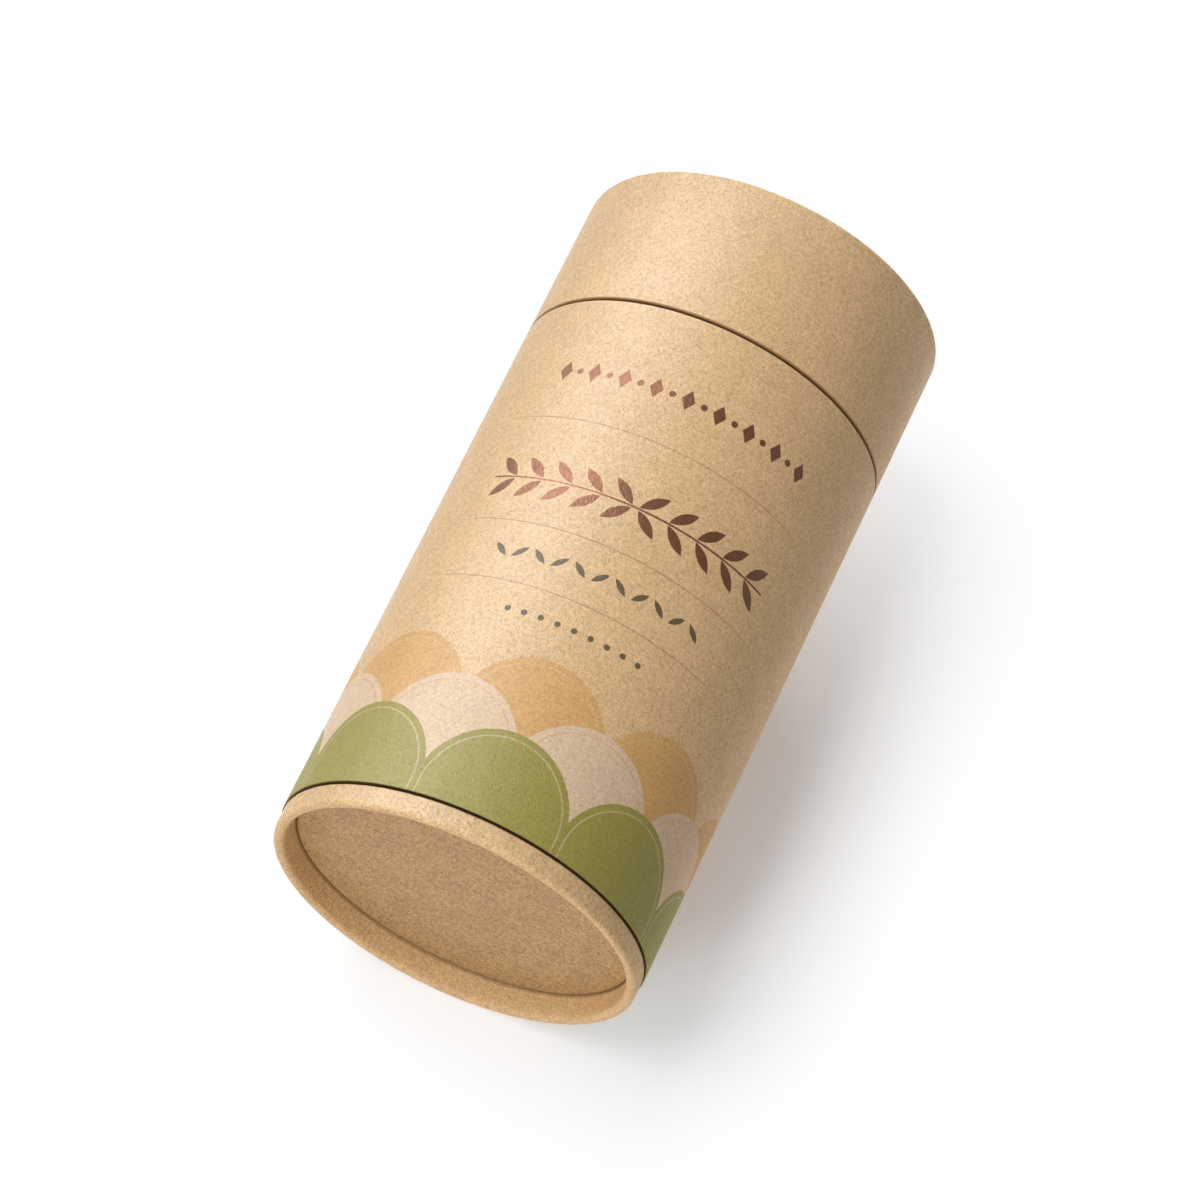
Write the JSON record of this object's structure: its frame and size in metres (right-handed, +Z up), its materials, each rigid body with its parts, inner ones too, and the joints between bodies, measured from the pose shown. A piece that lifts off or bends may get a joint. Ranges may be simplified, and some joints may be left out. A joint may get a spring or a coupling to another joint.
{
  "type": "paper tube canister",
  "caption": "Round kraft paperboard canister with a pull-off lid over an inner neck, a printed wrap, a rolled base rim and a recessed base disc.",
  "frame": {"origin": "middle of the base, on the plane of the rolled rim's foot", "axes": "+Z up the tube towards the lid, -Y out of the front of the print"},
  "size_m": [0.08, 0.08, 0.16],
  "materials": {
    "kraft_board": "matt kraft",
    "core_board": "raw grey-brown board",
    "printed_paper": "matt printed kraft",
    "disc_board": "matt kraft",
    "foil_liner": "satin foil facing on paper"
  },
  "bodies": {
    "canister": {"inner_tube": "kraft_board", "outer_tube": "core_board", "body_wrap": "printed_paper", "base_disc": "disc_board", "base_liner": "foil_liner", "tube_liner": "foil_liner"},
    "lid": {"lid_tube": "kraft_board", "lid_disc": "disc_board", "lid_pad": "foil_liner"}
  },
  "joints": [
    {"name": "lid_lift", "type": "slide", "parent": "canister", "child": "lid", "axis": [0, 0, 1], "range_m": [0, 0.04]}
  ]
}
